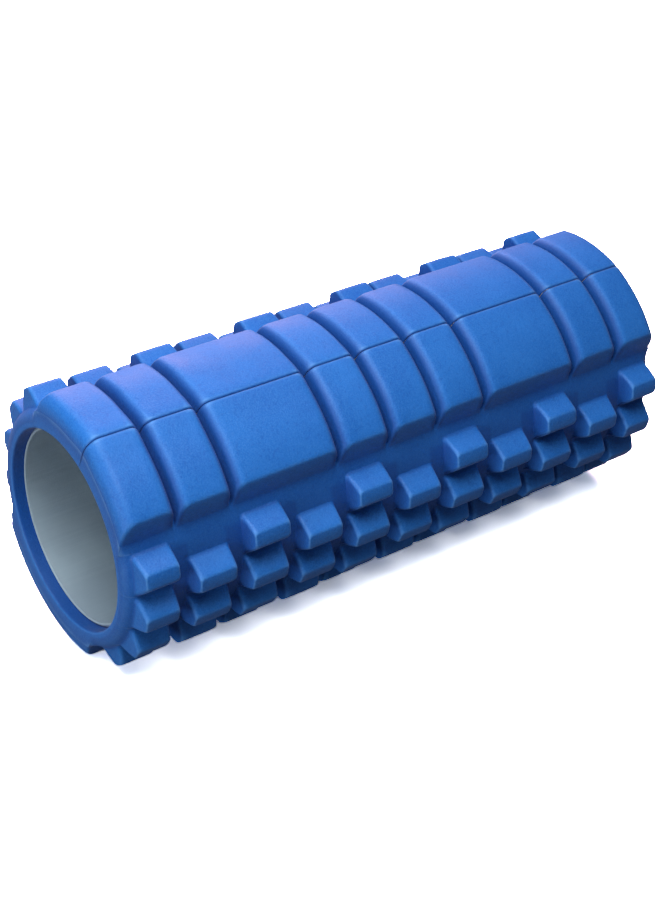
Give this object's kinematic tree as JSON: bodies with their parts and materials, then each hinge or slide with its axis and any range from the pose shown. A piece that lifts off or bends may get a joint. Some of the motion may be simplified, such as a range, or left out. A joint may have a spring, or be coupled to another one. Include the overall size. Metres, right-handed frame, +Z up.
{
  "type": "textured foam roller",
  "caption": "Hollow massage roller: a stiff tube with a glued-on foam sheet moulded into broad ribs, pads and small staggered blocks.",
  "frame": {"origin": "on the roller's axis, half-way between its two foam end faces, which is the middle of its bounding box", "axes": "+X along the roller's axis; +Z up and -Y the front as the roller lies on a floor at Z = -0.070 m, with the foam's seam 26.9 degrees forward of the top"},
  "size_m": [0.33, 0.1402, 0.14],
  "materials": {
    "core_plastic": "extruded grey-green plastic, satin, with fine drawing lines along it",
    "foam": "blue moulded closed-cell EVA foam with a fine matt skin, dense but soft",
    "adhesive": "dried contact adhesive, amber, slightly glossy"
  },
  "bodies": {
    "root": {"core_tube": "core_plastic", "core_adhesive": "adhesive", "foam_tread": "foam", "seam_adhesive": "adhesive"}
  },
  "joints": []
}
